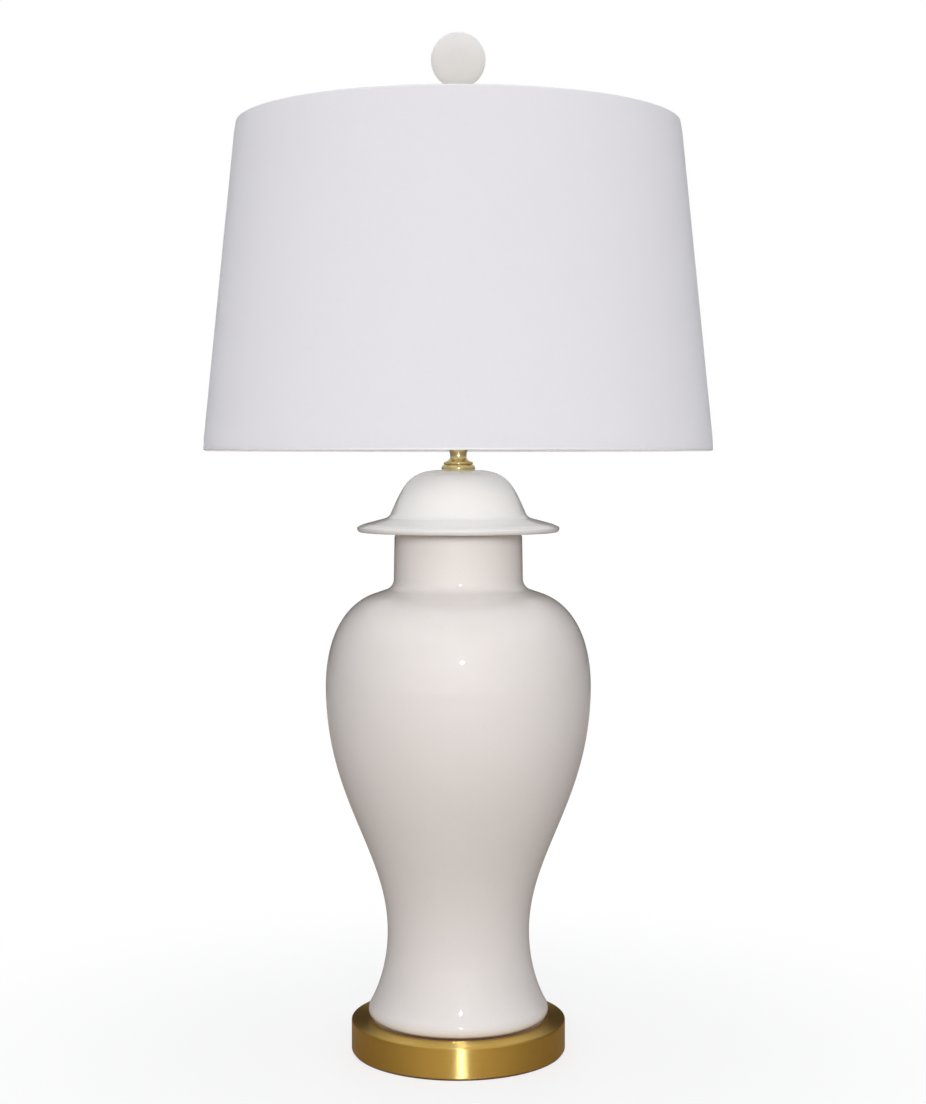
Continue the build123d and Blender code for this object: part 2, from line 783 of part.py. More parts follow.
# Each ferrule is a sleeve with a holed top, which rests on the rolled socket and locks the leg in.
ferrule_inner_r = leg_socket_r + sliding_gap
ferrules = []
for side_name, side in (("left", -1), ("right", 1)):
    with BuildPart() as ferrule:
        with BuildSketch(Plane.XY.offset(arm_top + sliding_gap)):
            with Locations((side * leg_x, 0)):
                Circle(ferrule_inner_r + ferrule_t)
        extrude(amount=leg_socket_h + ferrule_t - sliding_gap)
        with BuildSketch(Plane.XY.offset(arm_top + sliding_gap)):
            with Locations((side * leg_x, 0)):
                Circle(ferrule_inner_r)
        extrude(amount=leg_socket_h - sliding_gap, mode=Mode.SUBTRACT)
        with BuildSketch(Plane.XY.offset(leg_socket_top)):
            with Locations((side * leg_x, 0)):
                Circle(harp_wire_r + sliding_gap)
        extrude(amount=ferrule_t, mode=Mode.SUBTRACT)
    ferrule.part.label = f"ferrule_{side_name}"
    ferrules.append(ferrule)

# ================================================================== shade
shade_top = harp_seat_z + fitter_drop
shade_bottom = shade_top - shade_h
lean_in = (shade_bottom_r - shade_top_r) / shade_h


def shade_r(z, depth):
    """Radius of the shade's cone at height z, this deep into its wall."""
    return shade_bottom_r - (z - shade_bottom) * lean_in - depth


hem_w = fabric_t + liner_t + 2 * ring_r + hem_cover
skin_low_z = shade_bottom + fabric_t
skin_high_z = shade_top - fabric_t
with BuildPart() as shade_fabric:
    with BuildSketch(Plane.XZ) as fabric_section:
        with BuildLine():
            Polyline(
                (shade_r(shade_bottom, 0), shade_bottom),
                (shade_r(shade_top, 0), shade_top),
                (shade_r(shade_top, hem_w), shade_top),
                (shade_r(skin_high_z, hem_w), skin_high_z),
                (shade_r(skin_high_z, fabric_t), skin_high_z),
                (shade_r(skin_low_z, fabric_t), skin_low_z),
                (shade_r(skin_low_z, hem_w), skin_low_z),
                (shade_r(shade_bottom, hem_w), shade_bottom),
                close=True,
            )
        make_face()
        fillet(fabric_section.vertices().group_by(Axis.Y)[0].sort_by(Axis.X)[-1], hem_round)
        fillet(fabric_section.vertices().group_by(Axis.Y)[-1].sort_by(Axis.X)[-1], hem_round)
    revolve(axis=Axis.Z)
shade_fabric.part.label = "shade_fabric"

wall_t = fabric_t + liner_t
with BuildPart() as shade_liner:
    with BuildSketch(Plane.XZ):
        with BuildLine():
            Polyline(
                (shade_r(skin_low_z, fabric_t), skin_low_z),
                (shade_r(skin_high_z, fabric_t), skin_high_z),
                (shade_r(skin_high_z, wall_t), skin_high_z),
                (shade_r(skin_low_z, wall_t), skin_low_z),
                close=True,
            )
        make_face()
    revolve(axis=Axis.Z)
shade_liner.part.label = "shade_liner"

# Both rings lie in the corner between the liner and the fabric turned in over them.
ring_side = ring_r * sqrt(1 + lean_in**2)
top_ring_z = skin_high_z - ring_r
top_ring_centre_r = shade_r(top_ring_z, wall_t) - ring_side
with BuildPart() as shade_top_ring:
    with BuildSketch(Plane.XZ):
        with Locations((top_ring_centre_r, top_ring_z)):
            Circle(ring_r)
    revolve(axis=Axis.Z)
shade_top_ring.part.label = "shade_top_ring"

bottom_ring_z = skin_low_z + ring_r
bottom_ring_centre_r = shade_r(bottom_ring_z, wall_t) - ring_side
with BuildPart() as shade_bottom_ring:
    with BuildSketch(Plane.XZ):
        with Locations((bottom_ring_centre_r, bottom_ring_z)):
            Circle(ring_r)
    revolve(axis=Axis.Z)
shade_bottom_ring.part.label = "shade_bottom_ring"

with BuildPart() as spider_hub:
    with BuildSketch(Plane.XY.offset(harp_seat_z)):
        Circle(hub_r)
        Circle(hub_hole_r, mode=Mode.SUBTRACT)
    extrude(amount=hub_t)
spider_hub.part.label = "spider_hub"

# Three arms run from the hub's edge out to the top ring, each end shaped to what it is welded to.
arm_hub_z = harp_seat_z + hub_t / 2
arm_start = Vector(hub_r - ring_r, 0, arm_hub_z)
arm_end = Vector(top_ring_centre_r, 0, top_ring_z)
arms = []
for index in range(spider_arms):
    arm_angle = spider_turn + index * 360 / spider_arms
    start = arm_start.rotate(Axis.Z, arm_angle)
    end = arm_end.rotate(Axis.Z, arm_angle)
    with BuildPart() as spider_arm:
        with BuildSketch(Plane(origin=start, z_dir=end - start)):
            Circle(spider_arm_r)
        extrude(amount=(end - start).length)
        add(shade_top_ring.part, mode=Mode.SUBTRACT)
        with BuildSketch(Plane.XY.offset(arm_hub_z - hub_r)):
            Circle(hub_r)
        extrude(amount=2 * hub_r, mode=Mode.SUBTRACT)
    spider_arm.part.label = f"spider_arm_{index + 1}"
    arms.append(spider_arm)

# ================================================================== finial
finial_z = harp_seat_z + hub_t
cup_rim_z = finial_z + finial_cup_h
ball_z = cup_rim_z - turning_gap + sqrt(ball_r**2 - finial_cup_r**2)
ball_bottom = ball_z - ball_r
spigot_top = ball_bottom + finial_spigot_h
with BuildPart() as finial_base:
    with BuildSketch(Plane.XZ):
        with BuildLine():
            Polyline(
                (0, finial_z),
                (finial_flange_r, finial_z),
                (finial_flange_r, finial_z + finial_flange_t),
            )
            Spline(
                (finial_flange_r, finial_z + finial_flange_t),
                (finial_cove_r, finial_z + finial_cove_h),
                (finial_bead_r, finial_z + finial_bead_h),
                (finial_stem_r, finial_z + finial_stem_h),
                (finial_cup_r, cup_rim_z),
            )
            Polyline((finial_cup_r, cup_rim_z), (0, cup_rim_z), (0, finial_z))
        make_face()
    revolve(axis=Axis.Z)
    with Locations((0, 0, ball_z)):
        Sphere(ball_r + turning_gap, mode=Mode.SUBTRACT)
    with BuildSketch(Plane.XY.offset(finial_z + stud_h)):
        Circle(finial_spigot_r)
    extrude(amount=spigot_top - finial_z - stud_h)
    with BuildSketch(Plane.XY.offset(finial_z)):
        Circle(stud_r + running_gap)
    extrude(amount=stud_h - hub_t + finial_bore_extra, mode=Mode.SUBTRACT)
finial_base.part.label = "finial_base"

with BuildPart() as finial_ball:
    with Locations((0, 0, ball_z)):
        Sphere(ball_r)
    with BuildSketch(Plane.XY.offset(ball_bottom)):
        Circle(finial_spigot_r + running_gap)
    extrude(amount=finial_spigot_h, mode=Mode.SUBTRACT)
finial_ball.part.label = "finial_ball"

# ================================================================== files
pieces = [
    base_felt,
    base_plinth,
    base_weight,
    flat_washer,
    lock_washer,
    bottom_nut,
    cord_bushing,
    lamp_rod,
    foot_gasket,
    jar,
    lid_gasket,
    lid,
    check_ring,
    lamp_neck,
    harp_saddle,
    socket_cap,
    cap_set_screw,
    socket_shell,
    socket_insulator,
    socket_body,
    terminal_screws,
    thread_shell,
    centre_contact,
    switch_shaft,
    switch_knob,
    harp_wire,
    harp_stud,
    *ferrules,
    shade_fabric,
    shade_liner,
    shade_top_ring,
    shade_bottom_ring,
    spider_hub,
    *arms,
    finial_base,
    finial_ball,
]
for piece in pieces:
    export_step(piece.part, f"parts/{piece.part.label}.step")
print(f"{len(pieces)} nodes; shade {shade_bottom:.1f} to {shade_top:.1f}; seat {harp_seat_z:.1f};")
print(f"socket thread {socket_body_top:.1f} to {socket_body_top + thread_shell_h:.1f};")
print(f"shaft {shaft_z:.2f}; bushing {bushing_z:.1f}; overall {ball_z + ball_r:.1f}")
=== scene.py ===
# %% [markdown]
# # A ginger jar table lamp
#
# The lamp is a white porcelain jar with a brimmed lid. It stands on a round brass plinth, and a
# linen drum shade hangs on a wire harp above it. The CAD model gives every rigid piece its place
# and size. Here those pieces get their real surfaces: glaze, brushed and polished brass, linen,
# styrene, felt and enamel.
#
# The first lines load the CAD model. Its pieces stay where they are; a piece is either painted
# with a new material, or hidden while a finer surface stands in its place.

# %% Load the CAD model
import json
from math import atan2, cos, hypot, pi, radians, sin, sqrt, tan

import bpy
import numpy as np
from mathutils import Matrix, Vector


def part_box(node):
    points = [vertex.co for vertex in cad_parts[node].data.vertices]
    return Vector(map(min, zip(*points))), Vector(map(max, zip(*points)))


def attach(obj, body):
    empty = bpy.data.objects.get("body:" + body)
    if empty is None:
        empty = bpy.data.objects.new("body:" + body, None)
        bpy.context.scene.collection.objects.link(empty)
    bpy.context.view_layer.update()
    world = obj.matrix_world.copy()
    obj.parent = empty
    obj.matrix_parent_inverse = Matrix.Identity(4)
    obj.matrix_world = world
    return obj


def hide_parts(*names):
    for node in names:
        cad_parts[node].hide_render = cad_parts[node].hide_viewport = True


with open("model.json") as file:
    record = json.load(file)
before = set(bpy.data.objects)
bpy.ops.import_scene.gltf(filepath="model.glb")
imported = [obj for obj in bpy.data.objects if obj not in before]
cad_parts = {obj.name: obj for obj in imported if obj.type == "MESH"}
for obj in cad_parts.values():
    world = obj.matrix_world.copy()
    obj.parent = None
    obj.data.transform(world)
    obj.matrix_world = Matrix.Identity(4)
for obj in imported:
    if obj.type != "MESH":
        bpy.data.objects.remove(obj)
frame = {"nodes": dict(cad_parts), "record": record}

for name in ("Cube", "Light", "Camera"):  # what a new Blender file may hold
    if name in bpy.data.objects:
        bpy.data.objects.remove(bpy.data.objects[name])
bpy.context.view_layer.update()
slot_of = {piece["node"]: piece["material_slot"] for piece in frame["record"]["subparts"]}
body_of_node = {node: body for body, nodes in frame["record"]["behaviour"]["bodies"].items() for node in nodes}

# %% [markdown]
# ## A small language for materials
#
# A shader is a sum of simple steps: take a noise, multiply it, lay it over a colour. Drawing those
# steps by hand takes many nodes. So one class wraps a socket, and Python's own signs add the Math
# nodes: `1 - mask` or `wave * 0.3 + 0.5`. A second class holds one material and makes every other
# kind of node.

# %% Sockets that can be added and multiplied
class Signal:
    """A shader socket in Python arithmetic: each operator adds one Math node to its material."""

    def __init__(self, finish, socket):
        self.finish, self.socket = finish, socket

    def math(self, operation, *values):
        return self.finish.node("ShaderNodeMath", {"operation": operation}, dict(enumerate(values)))

    def __add__(self, other):
        return self.math("ADD", self, other)

    def __sub__(self, other):
        return self.math("SUBTRACT", self, other)

    def __rsub__(self, other):
        return self.math("SUBTRACT", other, self)

    def __mul__(self, other):
        return self.math("MULTIPLY", self, other)

    def __truediv__(self, other):
        return self.math("DIVIDE", self, other)

    def __rtruediv__(self, other):
        return self.math("DIVIDE", other, self)

    def __pow__(self, other):
        return self.math("POWER", self, other)

    __radd__, __rmul__ = __add__, __mul__

    def rise(self, low, high):
        """0 below low, 1 above high, and a smooth S between them."""
        return self.finish.node(
            "ShaderNodeMapRange",
            {"interpolation_type": "SMOOTHSTEP"},
            {"Value": self, "From Min": low, "From Max": high},
        )


# %% One node tree, and one material
class Bench:
    """A node tree and one method that makes any node in it."""

    def __init__(self, tree):
        self.tree = tree

    def put(self, socket, value):
        if isinstance(value, Signal):
            self.tree.links.new(value.socket, socket)
        else:
            socket.default_value = value

    def node(self, kind, settings=None, sockets=None, out=0):
        """A node of this kind: its settings first, then values or links for its sockets."""
        made = self.tree.nodes.new(kind)
        for key, value in (settings or {}).items():
            if key == "stops":
                ramp = made.color_ramp.elements
                while len(ramp) < len(value):
                    ramp.new(0.5)
                for stop, (place, colour) in zip(ramp, value):
                    stop.position, stop.color = place, colour
            else:
                setattr(made, key, value)
        for key, value in (sockets or {}).items():
            self.put(made.inputs[key], value)
        return Signal(self, made.outputs[out])


class Finish(Bench):
    """One material with a Principled surface."""

    def __init__(self, name):
        self.material = bpy.data.materials.new(name)
        self.material.use_nodes = True
        super().__init__(self.material.node_tree)
        self.principled = self.tree.nodes["Principled BSDF"]

    def surface(self, **values):
        """Sets the Principled sockets: surface(base_color=..., coat_weight=...)."""
        for key, value in values.items():
            self.put(self.principled.inputs[SOCKETS[key]], value)
        return self.material


SOCKETS = {
    name.lower().replace(" ", "_"): name
    for name in (
        "Base Color", "Metallic", "Roughness", "IOR", "Alpha", "Normal", "Diffuse Roughness",
        "Subsurface Weight", "Subsurface Radius", "Subsurface Scale", "Specular IOR Level",
        "Anisotropic", "Anisotropic Rotation", "Coat Weight", "Coat Roughness", "Coat IOR",
        "Sheen Weight", "Sheen Roughness", "Sheen Tint",
    )
}
print("a finish can set", len(SOCKETS), "sockets of the Principled surface")


# %% The few nodes that nearly every finish uses
def rgb(red, green, blue):
    """A colour for a socket."""
    return (red, green, blue, 1.0)


def place(finish):
    """The point on the lamp, in metres, as three signals x, y and z, and as one vector."""
    point = finish.node("ShaderNodeTexCoord", out="Object")
    parts = finish.tree.nodes.new("ShaderNodeSeparateXYZ")
    finish.put(parts.inputs[0], point)
    return point, *(Signal(finish, socket) for socket in parts.outputs)


def vector(finish, x, y, z):
    return finish.node("ShaderNodeCombineXYZ", sockets={0: x, 1: y, 2: z})


def noise(finish, at, scale, detail=2.0, rough=0.5):
    """A cloudy value round 0.5, with scale clouds to the metre."""
    sockets = {"Vector": at, "Scale": scale, "Detail": detail, "Roughness": rough}
    return finish.node("ShaderNodeTexNoise", sockets=sockets)


def mix(finish, share, first, second):
    """The first colour where share is 0, and the second where it is 1."""
    return finish.node("ShaderNodeMix", {"data_type": "RGBA"}, {0: share, 6: first, 7: second}, out=2)


def bump(finish, height, depth):
    """A normal for a relief that is depth metres deep where height goes from 0 to 1."""
    sockets = {"Height": height, "Distance": depth, "Strength": 1.0}
    return finish.node("ShaderNodeBump", sockets=sockets, out="Normal")


finishes = {}
print("helpers: rgb, place, vector, noise, mix, bump")

# %% [markdown]
# ## Porcelain
#
# The jar and the lid are white porcelain under a clear glaze. A potter's glaze is glass: smooth,
# a little wavy, with a few pinholes, and thinner and greyer where it has run off a sharp edge. The
# ring that the jar stands on in the kiln is wiped clean and stays matt. So the body of the material
# is a soft white, and the glaze is a clear coat over it that stops at the foot.

# %% White glaze
def white_glaze():
    """Warm white clay under a clear coat; the coat ends at the unglazed foot ring."""
    f = Finish("white_glaze")
    at, x, y, z = place(f)
    clouds = noise(f, at, 11.0, 3.0)
    specks = noise(f, at, 900.0, 0.0).rise(0.80, 0.84)
    white = mix(f, clouds.rise(0.35, 0.65), rgb(0.795, 0.752, 0.725), rgb(0.810, 0.772, 0.748))
    # The lid is painted a shade whiter than the jar: partly its own glaze, and partly painted light standing in for
    # the brighter light the lid has under the shade.
    white = mix(f, z.rise(0.4449, 0.4455), white, rgb(0.845, 0.834, 0.830))
    white = mix(f, specks * 0.35, white, rgb(0.55, 0.50, 0.45))
    foot = 1 - z.rise(0.0300, 0.0306)
    bare = mix(f, foot, white, rgb(0.70, 0.67, 0.63))
    wavy = noise(f, at, 38.0, 1.0) * 0.75 + noise(f, at, 420.0, 1.0) * 0.06
    pits = noise(f, at, 620.0, 0.0).rise(0.79, 0.83)
    return f.surface(
        base_color=bare,
        roughness=0.42 + foot * 0.4,
        specular_ior_level=0.15,
        coat_weight=1 - foot,
        coat_roughness=0.035,
        coat_ior=1.5,
        subsurface_weight=0.05,
        subsurface_radius=(0.004, 0.003, 0.002),
        subsurface_scale=1.0,
        normal=bump(f, wavy - pits * 0.05, 0.00030),
    )


finishes["white_glaze"] = white_glaze()
print("white_glaze has", len(finishes["white_glaze"].node_tree.nodes), "nodes")

# %% [markdown]
# ## Brass
#
# Two brasses show. The plinth is spun from sheet and then brushed on the lathe, so fine lines run
# round it and a lamp's reflection is drawn out across them into an upright streak. That is what
# the anisotropic setting does: it makes the surface rougher across the lines than along them. The
# lines themselves come from a noise that changes slowly round the plinth and quickly up its side
# and in across its top. The neck, the ring and the finial are turned and polished, with only
# faint tool marks.

# %% Brushed brass, along circles round the axis
def lathe_lines(f, at, x, y, z, fine, drift):
    """Noise with fine lines to the metre across the lathe's lines, and drift along them."""
    radius = (x * x + y * y) ** 0.5
    return noise(f, vector(f, x * drift, y * drift, (z + radius) * fine), 1.0, 2.0, 0.6)


def brushed_brass():
    """Lacquered brass, brushed round: streaks in roughness and colour, a wide soft tarnish, and a top painted duller
    and greener than the side as a painted reflection.
    """
    f = Finish("brushed_brass")
    at, x, y, z = place(f)
    lines = lathe_lines(f, at, x, y, z, 6500.0, 16.0)
    broad = lathe_lines(f, at, x, y, z, 700.0, 7.0)
    age = noise(f, at, 26.0, 3.0)
    gold = mix(f, lines.rise(0.30, 0.70), rgb(0.88, 0.535, 0.105), rgb(0.94, 0.600, 0.140))
    gold = mix(f, age.rise(0.45, 0.75) * 0.35, gold, rgb(0.82, 0.47, 0.085))
    # Painted reflection: the top face is painted duller and greener, standing in for the jar that a top seen at a
    # flat angle mirrors.
    top = z.rise(0.0268, 0.0278)
    gold = mix(f, top * 0.55, gold, mix(f, lines.rise(0.30, 0.70), rgb(0.58, 0.45, 0.150), rgb(0.64, 0.50, 0.170)))
    return f.surface(
        base_color=gold,
        metallic=1.0,
        roughness=0.31 + lines * 0.10 + broad * 0.04,
        anisotropic=1.0,
        anisotropic_rotation=0.25,
        normal=bump(f, lines, 0.0000012),
    )


finishes["brushed_brass"] = brushed_brass()
print("brushed_brass has", len(finishes["brushed_brass"].node_tree.nodes), "nodes")


# %% [markdown]
# ### Turned and plated metals
#
# The neck, the ring and the finial's foot are turned brass. The harp, its saddle and the ferrules
# are steel with a thin brass plate, which is paler and a little rough. The washers and the nut are
# zinc plated, and the bulb's thread is bare aluminium. They differ in colour, in roughness and in
# how fine the tool marks are, so one function makes them all from a short table.

# %% Polished and plated metals
def metal(name, light, dark, rough, lines, depth, blotch, drawn=0.0):
    """Turned metal: faint lathe lines, blotches in the polish, and highlights drawn out across the lines."""
    f = Finish(name)
    at, x, y, z = place(f)
    marks = lathe_lines(f, at, x, y, z, lines, 30.0)
    clouds = noise(f, at, blotch, 3.0)
    colour = mix(f, clouds.rise(0.35, 0.7), rgb(*light), rgb(*dark))
    return f.surface(
        base_color=colour,
        metallic=1.0,
        roughness=rough * 0.7 + marks * rough * 0.4 + clouds * rough * 0.3,
        anisotropic=drawn,
        anisotropic_rotation=0.25,
        normal=bump(f, marks, depth),
    )


for name, *how in (
    ("polished_brass", (0.90, 0.77, 0.42), (0.78, 0.63, 0.30), 0.22, 3500.0, 0.000002, 90.0, 0.9),
    ("socket_brass", (0.82, 0.63, 0.27), (0.70, 0.50, 0.18), 0.22, 1800.0, 0.000006, 60.0),
    ("plated_steel", (0.78, 0.60, 0.28), (0.66, 0.48, 0.20), 0.30, 1500.0, 0.000010, 160.0),
    ("zinc_steel", (0.62, 0.63, 0.64), (0.50, 0.51, 0.54), 0.36, 900.0, 0.000012, 240.0),
    ("thread_aluminium", (0.83, 0.83, 0.82), (0.74, 0.74, 0.74), 0.26, 1300.0, 0.000008, 120.0),
):
    finishes[name] = metal(name, *how)
print("metals so far:", [name for name in finishes if "brass" in name or "steel" in name])

# %% [markdown]
# ## Cloth, paper, rubber and plastic
#
# The shade is linen laid on a sheet of styrene while both are flat. Its threads are straight in
# the flat sheet, so they follow the cloth's own map and not the lamp's axes. Linen yarn is uneven:
# each thread has its own thickness, and slubs run along it. The cloth's map is in metres, and one
# thread is 0.55 mm wide.

# %% White linen, woven thread by thread
thread = 0.00055


def white_linen():
    """Plain weave: a thread's height is an arch across it, and at each crossing one is on top."""
    f = Finish("white_linen")
    flat = f.node("ShaderNodeUVMap", {"uv_map": "cloth"})
    parts = f.tree.nodes.new("ShaderNodeSeparateXYZ")
    f.put(parts.inputs[0], flat)
    across, along = (Signal(f, socket) / thread for socket in parts.outputs[:2])

    def yarn(count, run):
        """(arch across one thread, its slubs): count numbers the threads, run goes along them."""
        arch = 1 - (count.math("FRACT", count) * 2 - 1) ** 2
        number = count.math("FLOOR", count)
        slubs = noise(f, vector(f, number * 0.731, run * 0.035, 0.0), 1.0, 2.0, 0.6)
        return arch, slubs

    warp, warp_slubs = yarn(across, along)
    weft, weft_slubs = yarn(along, across)
    turn = across.math("SINE", across * pi) * along.math("SINE", along * pi)
    over = turn.rise(-0.25, 0.25)
    height = over * warp + (1 - over) * weft
    slubs = over * warp_slubs + (1 - over) * weft_slubs
    height = height * (0.6 + slubs * 0.8)
    broad = noise(f, vector(f, across * 0.004, along * 0.004, 0.0), 1.0, 3.0)
    # Painted shade: the hollows between the threads are painted darker, besides being sunk by the bump.
    cloth = mix(f, height.rise(0.1, 0.9), rgb(0.745, 0.742, 0.775), rgb(0.825, 0.822, 0.856))
    cloth = mix(f, slubs.rise(0.55, 0.8) * 0.5, cloth, rgb(0.850, 0.845, 0.875))
    cloth = mix(f, broad.rise(0.5, 0.8) * 0.3, cloth, rgb(0.775, 0.772, 0.81))
    return f.surface(
        base_color=cloth,
        roughness=0.92,
        diffuse_roughness=0.6,
        specular_ior_level=0.12,
        sheen_weight=0.30,
        sheen_roughness=0.55,
        sheen_tint=rgb(0.93, 0.93, 1.0),
        subsurface_weight=0.08,
        subsurface_radius=(0.003, 0.003, 0.003),
        subsurface_scale=1.0,
        normal=bump(f, height, 0.00010),
    )


finishes["white_linen"] = white_linen()
print("one metre of linen has", round(1 / thread), "threads each way")


# %% [markdown]
# ### The plain materials
#
# Felt, rubber, fibre board, moulded plastic, enamel and cast iron each have a grain of their own
# size: 0.4 mm for felt, coarser for cast iron, finer for plastic. All can be drawn the same way, as
# two close colours in grains with a relief of the same grains. What sets them apart is the size of
# the grain, its depth, the gloss, and a soft sheen for wool and for the chalky white ball.

# %% Felt, fibre, rubber, plastics, enamel and iron
def grained(name, light, dark, rough, grain, depth, spots=0.0, **more):
    """A surface of two close colours in grains, with a relief of the same grains."""
    f = Finish(name)
    at, x, y, z = place(f)
    grains = noise(f, at, grain, 4.0, 0.65)
    broad = noise(f, at, grain / 14, 2.0)
    colour = mix(f, grains.rise(0.3, 0.7), rgb(*light), rgb(*dark))
    colour = mix(f, broad.rise(0.45, 0.75) * 0.4, colour, rgb(*dark))
    relief = grains + noise(f, at, grain * 0.31, 0.0).rise(0.70, 0.76) * spots
    return f.surface(
        base_color=colour,
        roughness=rough * 0.85 + grains * rough * 0.25,
        normal=bump(f, relief, depth),
        **more,
    )


wool = {"sheen_weight": 0.5, "sheen_roughness": 0.6}
gloss = {"coat_weight": 0.6, "coat_roughness": 0.12}
chalky = {"diffuse_roughness": 1.0, "sheen_weight": 0.45, "sheen_roughness": 0.4}
for name, light, dark, rough, grain, depth, spots, more in (
    ("brown_felt", (0.115, 0.040, 0.026), (0.060, 0.020, 0.014), 1.0, 2400.0, 0.00020, 0.0, wool),
    ("dark_rubber", (0.050, 0.040, 0.036), (0.028, 0.024, 0.022), 0.75, 3000.0, 0.00002, 0.0, {}),
    ("black_nylon", (0.022, 0.022, 0.023), (0.014, 0.014, 0.015), 0.50, 1900.0, 0.00002, 0.0, {}),
    ("black_phenolic", (0.020, 0.016, 0.014), (0.011, 0.009, 0.008), 0.30, 800.0, 0.00001, 0.3, gloss),
    ("fibre_sleeve", (0.34, 0.23, 0.13), (0.24, 0.15, 0.08), 0.85, 1200.0, 0.00006, 0.2, {}),
    ("styrene_liner", (0.86, 0.86, 0.845), (0.82, 0.82, 0.805), 0.48, 260.0, 0.00002, 0.0, {}),
    ("white_wire", (0.82, 0.82, 0.81), (0.76, 0.76, 0.75), 0.32, 700.0, 0.00003, 0.4, gloss),
    ("cast_iron", (0.075, 0.072, 0.070), (0.045, 0.043, 0.042), 0.80, 520.0, 0.00030, 0.5, {}),
    ("white_ball", (0.795, 0.775, 0.750), (0.755, 0.735, 0.710), 0.72, 1500.0, 0.00003, 0.3, chalky),
):
    finishes[name] = grained(name, light, dark, rough, grain, depth, spots, **more)
print(len(finishes), "finishes for", len(set(slot_of.values())), "slots")

# %% [markdown]
# ## Painting the CAD pieces
#
# Each piece of the record names a material slot, and each slot has one finish above. The CAD
# pieces keep their meshes: only their material changes. The few that need a finer surface are
# replaced further down.

# %% Paint every CAD node with its slot's finish
for name, node in frame["nodes"].items():
    node.data.materials.clear()
    node.data.materials.append(finishes[slot_of[name]])
print("painted", len(frame["nodes"]), "nodes")

# %% [markdown]
# ## Surfaces from an outline
#
# Almost every piece of the lamp was made by turning: thrown on a wheel, spun or cut on a lathe. So
# one function does most of the work. It takes an outline, a list of points (radius, height), and
# carries it round the axis on a grid: rows follow the outline, and columns go round. The outlines
# are built from a few curves, all as numpy arrays.

# %% Curves for outlines
def straight(start, end, count=2):
    """Points from start to end in equal steps."""
    return np.linspace(start, end, count)


def bezier(p0, p1, p2, p3, count=48):
    """The cubic curve (1-t)^3 p0 + 3(1-t)^2 t p1 + 3(1-t) t^2 p2 + t^3 p3."""
    t = np.linspace(0, 1, count)[:, None]
    p0, p1, p2, p3 = map(np.array, (p0, p1, p2, p3))
    return (1 - t) ** 3 * p0 + 3 * (1 - t) ** 2 * t * p1 + 3 * (1 - t) * t**2 * p2 + t**3 * p3


def arc(centre, radius, start, end, count=12):
    """Points on a circle, from one angle to another, in degrees from the outward direction."""
    a = np.radians(np.linspace(start, end, count))
    return np.array(centre) + radius * np.column_stack((np.cos(a), np.sin(a)))


def rounded(corners, radii, count=9):
    """A run of straight lines whose inner corners are rounded, each to its own radius."""
    corners = [np.array(c, float) for c in corners]
    parts = [corners[0][None]]
    for before, corner, after, radius in zip(corners, corners[1:], corners[2:], radii):
        u = (before - corner) / np.linalg.norm(before - corner)
        v = (after - corner) / np.linalg.norm(after - corner)
        half = np.arccos(np.clip(u @ v, -1, 1)) / 2
        middle = corner + (u + v) / np.linalg.norm(u + v) * radius / np.sin(half)
        first, last = corner + u * radius / np.tan(half), corner + v * radius / np.tan(half)
        t = np.linspace(0, 1, count)[:, None]
        sweep = pi - 2 * half
        a, b = (first - middle), (last - middle)
        parts.append(middle + (a * np.sin((1 - t) * sweep) + b * np.sin(t * sweep)) / np.sin(sweep))
    parts.append(corners[-1][None])
    return np.vstack(parts)


def joined(*parts):
    """One outline from several, without the points that two of them share."""
    points = np.vstack(parts)
    step = np.linalg.norm(np.diff(points, axis=0), axis=1)
    return points[np.r_[True, step > 1e-6]]


print("a quarter circle of radius 2:", np.round(arc((0, 0), 2, 0, 90, 3), 2).tolist())


# %% Turn an outline about the axis
def mesh_piece(name, points, faces, slot, body, smooth=30):
    """A mesh object from arrays, facing outwards, with its finish, and riding on its body."""
    corner = points[faces[:, 0]]
    volume = 0.0
    for second, third in ((1, 2), (2, 3))[: faces.shape[1] - 2]:
        volume += np.sum(corner * np.cross(points[faces[:, second]], points[faces[:, third]]))
    mesh = bpy.data.meshes.new(name)
    mesh.from_pydata(points.tolist(), [], (faces if volume > 0 else faces[:, ::-1]).tolist())
    mesh.polygons.foreach_set("use_smooth", np.ones(len(faces), bool))
    mesh.set_sharp_from_angle(angle=radians(smooth))
    mesh.materials.append(finishes[slot])
    piece = bpy.data.objects.new(name, mesh)
    bpy.context.scene.collection.objects.link(piece)
    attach(piece, body)
    return piece


def grid_faces(rows, columns, close_rows):
    """Quads of a grid that closes round its columns, and round its rows as well if asked."""
    i, j = np.meshgrid(np.arange(rows if close_rows else rows - 1), np.arange(columns), indexing="ij")
    i, j = i.ravel(), j.ravel()
    down, right = (i + 1) % rows, (j + 1) % columns
    return np.column_stack((i * columns + j, i * columns + right, down * columns + right, down * columns + j))


def turned(name, outline, slot, body, around=192, ripple=None, centre=(0.0, 0.0)):
    """Carries (radius, height) points round the axis: x = r cos a, y = r sin a, z = height.

    The outline is a closed loop. ripple(angle, radius, height) may add to the radius.
    """
    outline = np.asarray(outline)
    if np.linalg.norm(outline[0] - outline[-1]) < 1e-9:
        outline = outline[:-1]
    angle = np.linspace(0, 2 * pi, around, endpoint=False)[None, :]
    radius = np.repeat(outline[:, :1], around, axis=1)
    height = np.repeat(outline[:, 1:], around, axis=1)
    if ripple is not None:
        radius = radius + ripple(angle, radius, height)
    x = centre[0] + radius * np.cos(angle)
    y = centre[1] + radius * np.sin(angle)
    points = np.stack((x, y, height), axis=-1).reshape(-1, 3)
    return mesh_piece(name, points, grid_faces(len(outline), around, True), slot, body)


print("a grid of 3 rows and 4 columns has", len(grid_faces(3, 4, True)), "faces when it closes both ways")

